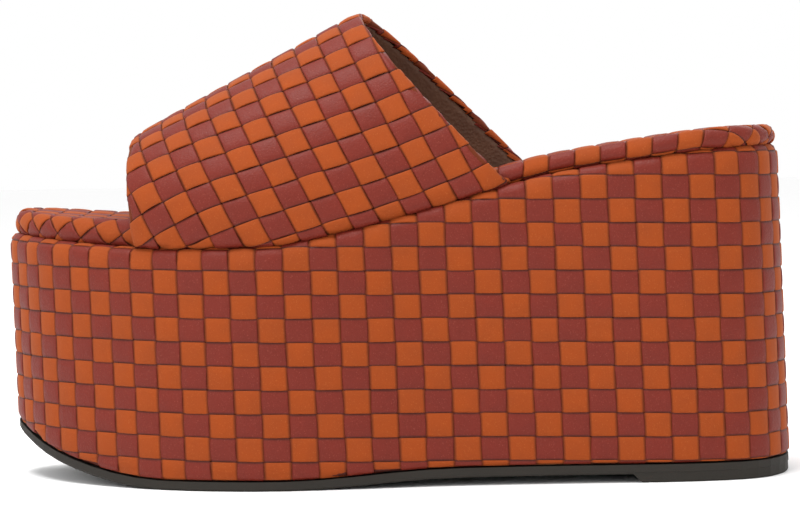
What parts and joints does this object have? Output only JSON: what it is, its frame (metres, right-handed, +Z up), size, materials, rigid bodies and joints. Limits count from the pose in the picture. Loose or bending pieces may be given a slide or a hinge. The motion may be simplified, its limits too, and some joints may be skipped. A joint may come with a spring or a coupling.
{
  "type": "slide sandal",
  "caption": "Left flatform slide sandal: tall wedge block and footbed wrapped in two-tone woven leather, one wide woven band over the foot, thin rubber outsole.",
  "frame": {"origin": "middle of the bounding box at floor level, under the shoe", "axes": "toe towards -X, heel towards +X, outer (lateral) side of the foot towards -Y, +Z up from the floor"},
  "size_m": [0.2594, 0.0934, 0.1532],
  "materials": {
    "outsole": "matte dark moulded rubber",
    "platform": "plain weave of orange nubuck and dark red-brown leather strips",
    "footbed": "padded, wrapped in the same woven leather",
    "upper": "woven leather outside, brown lining leather inside"
  },
  "bodies": {
    "root": {"outsole": "outsole", "platform": "platform", "footbed": "footbed", "upper": "upper"}
  },
  "joints": []
}
